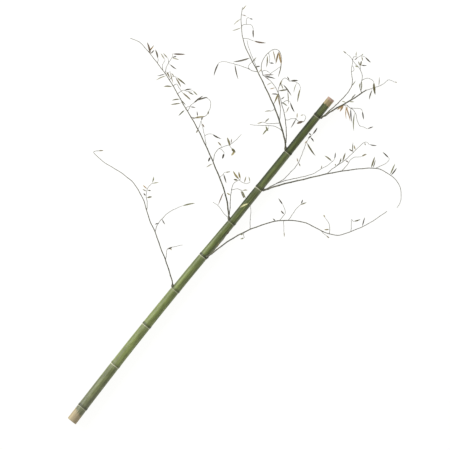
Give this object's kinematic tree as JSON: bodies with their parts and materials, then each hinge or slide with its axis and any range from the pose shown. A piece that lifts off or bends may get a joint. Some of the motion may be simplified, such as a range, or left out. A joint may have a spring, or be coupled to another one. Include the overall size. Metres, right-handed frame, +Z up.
{
  "type": "bamboo cane",
  "caption": "Cut length of green bamboo culm lying on its side, with ringed nodes, open hollow ends and dry leafy side branches on its upper part",
  "frame": {"origin": "the middle of the footprint of the whole cane, on the surface that it lies on", "axes": "+X along the culm from its butt to its tip, +Y to the left of that, +Z up from the surface"},
  "size_m": [2.263, 1.5198, 0.1128],
  "materials": {
    "green_culm": "satin green skin with a pale waxy bloom at the nodes",
    "dry_branch": "matte dry leaves and twigs"
  },
  "bodies": {
    "root": {"culm": "green_culm", "branch_4": "dry_branch", "branch_5": "dry_branch", "branch_6": "dry_branch", "branch_7": "dry_branch", "branch_8": "dry_branch", "branch_9": "dry_branch"}
  },
  "joints": []
}
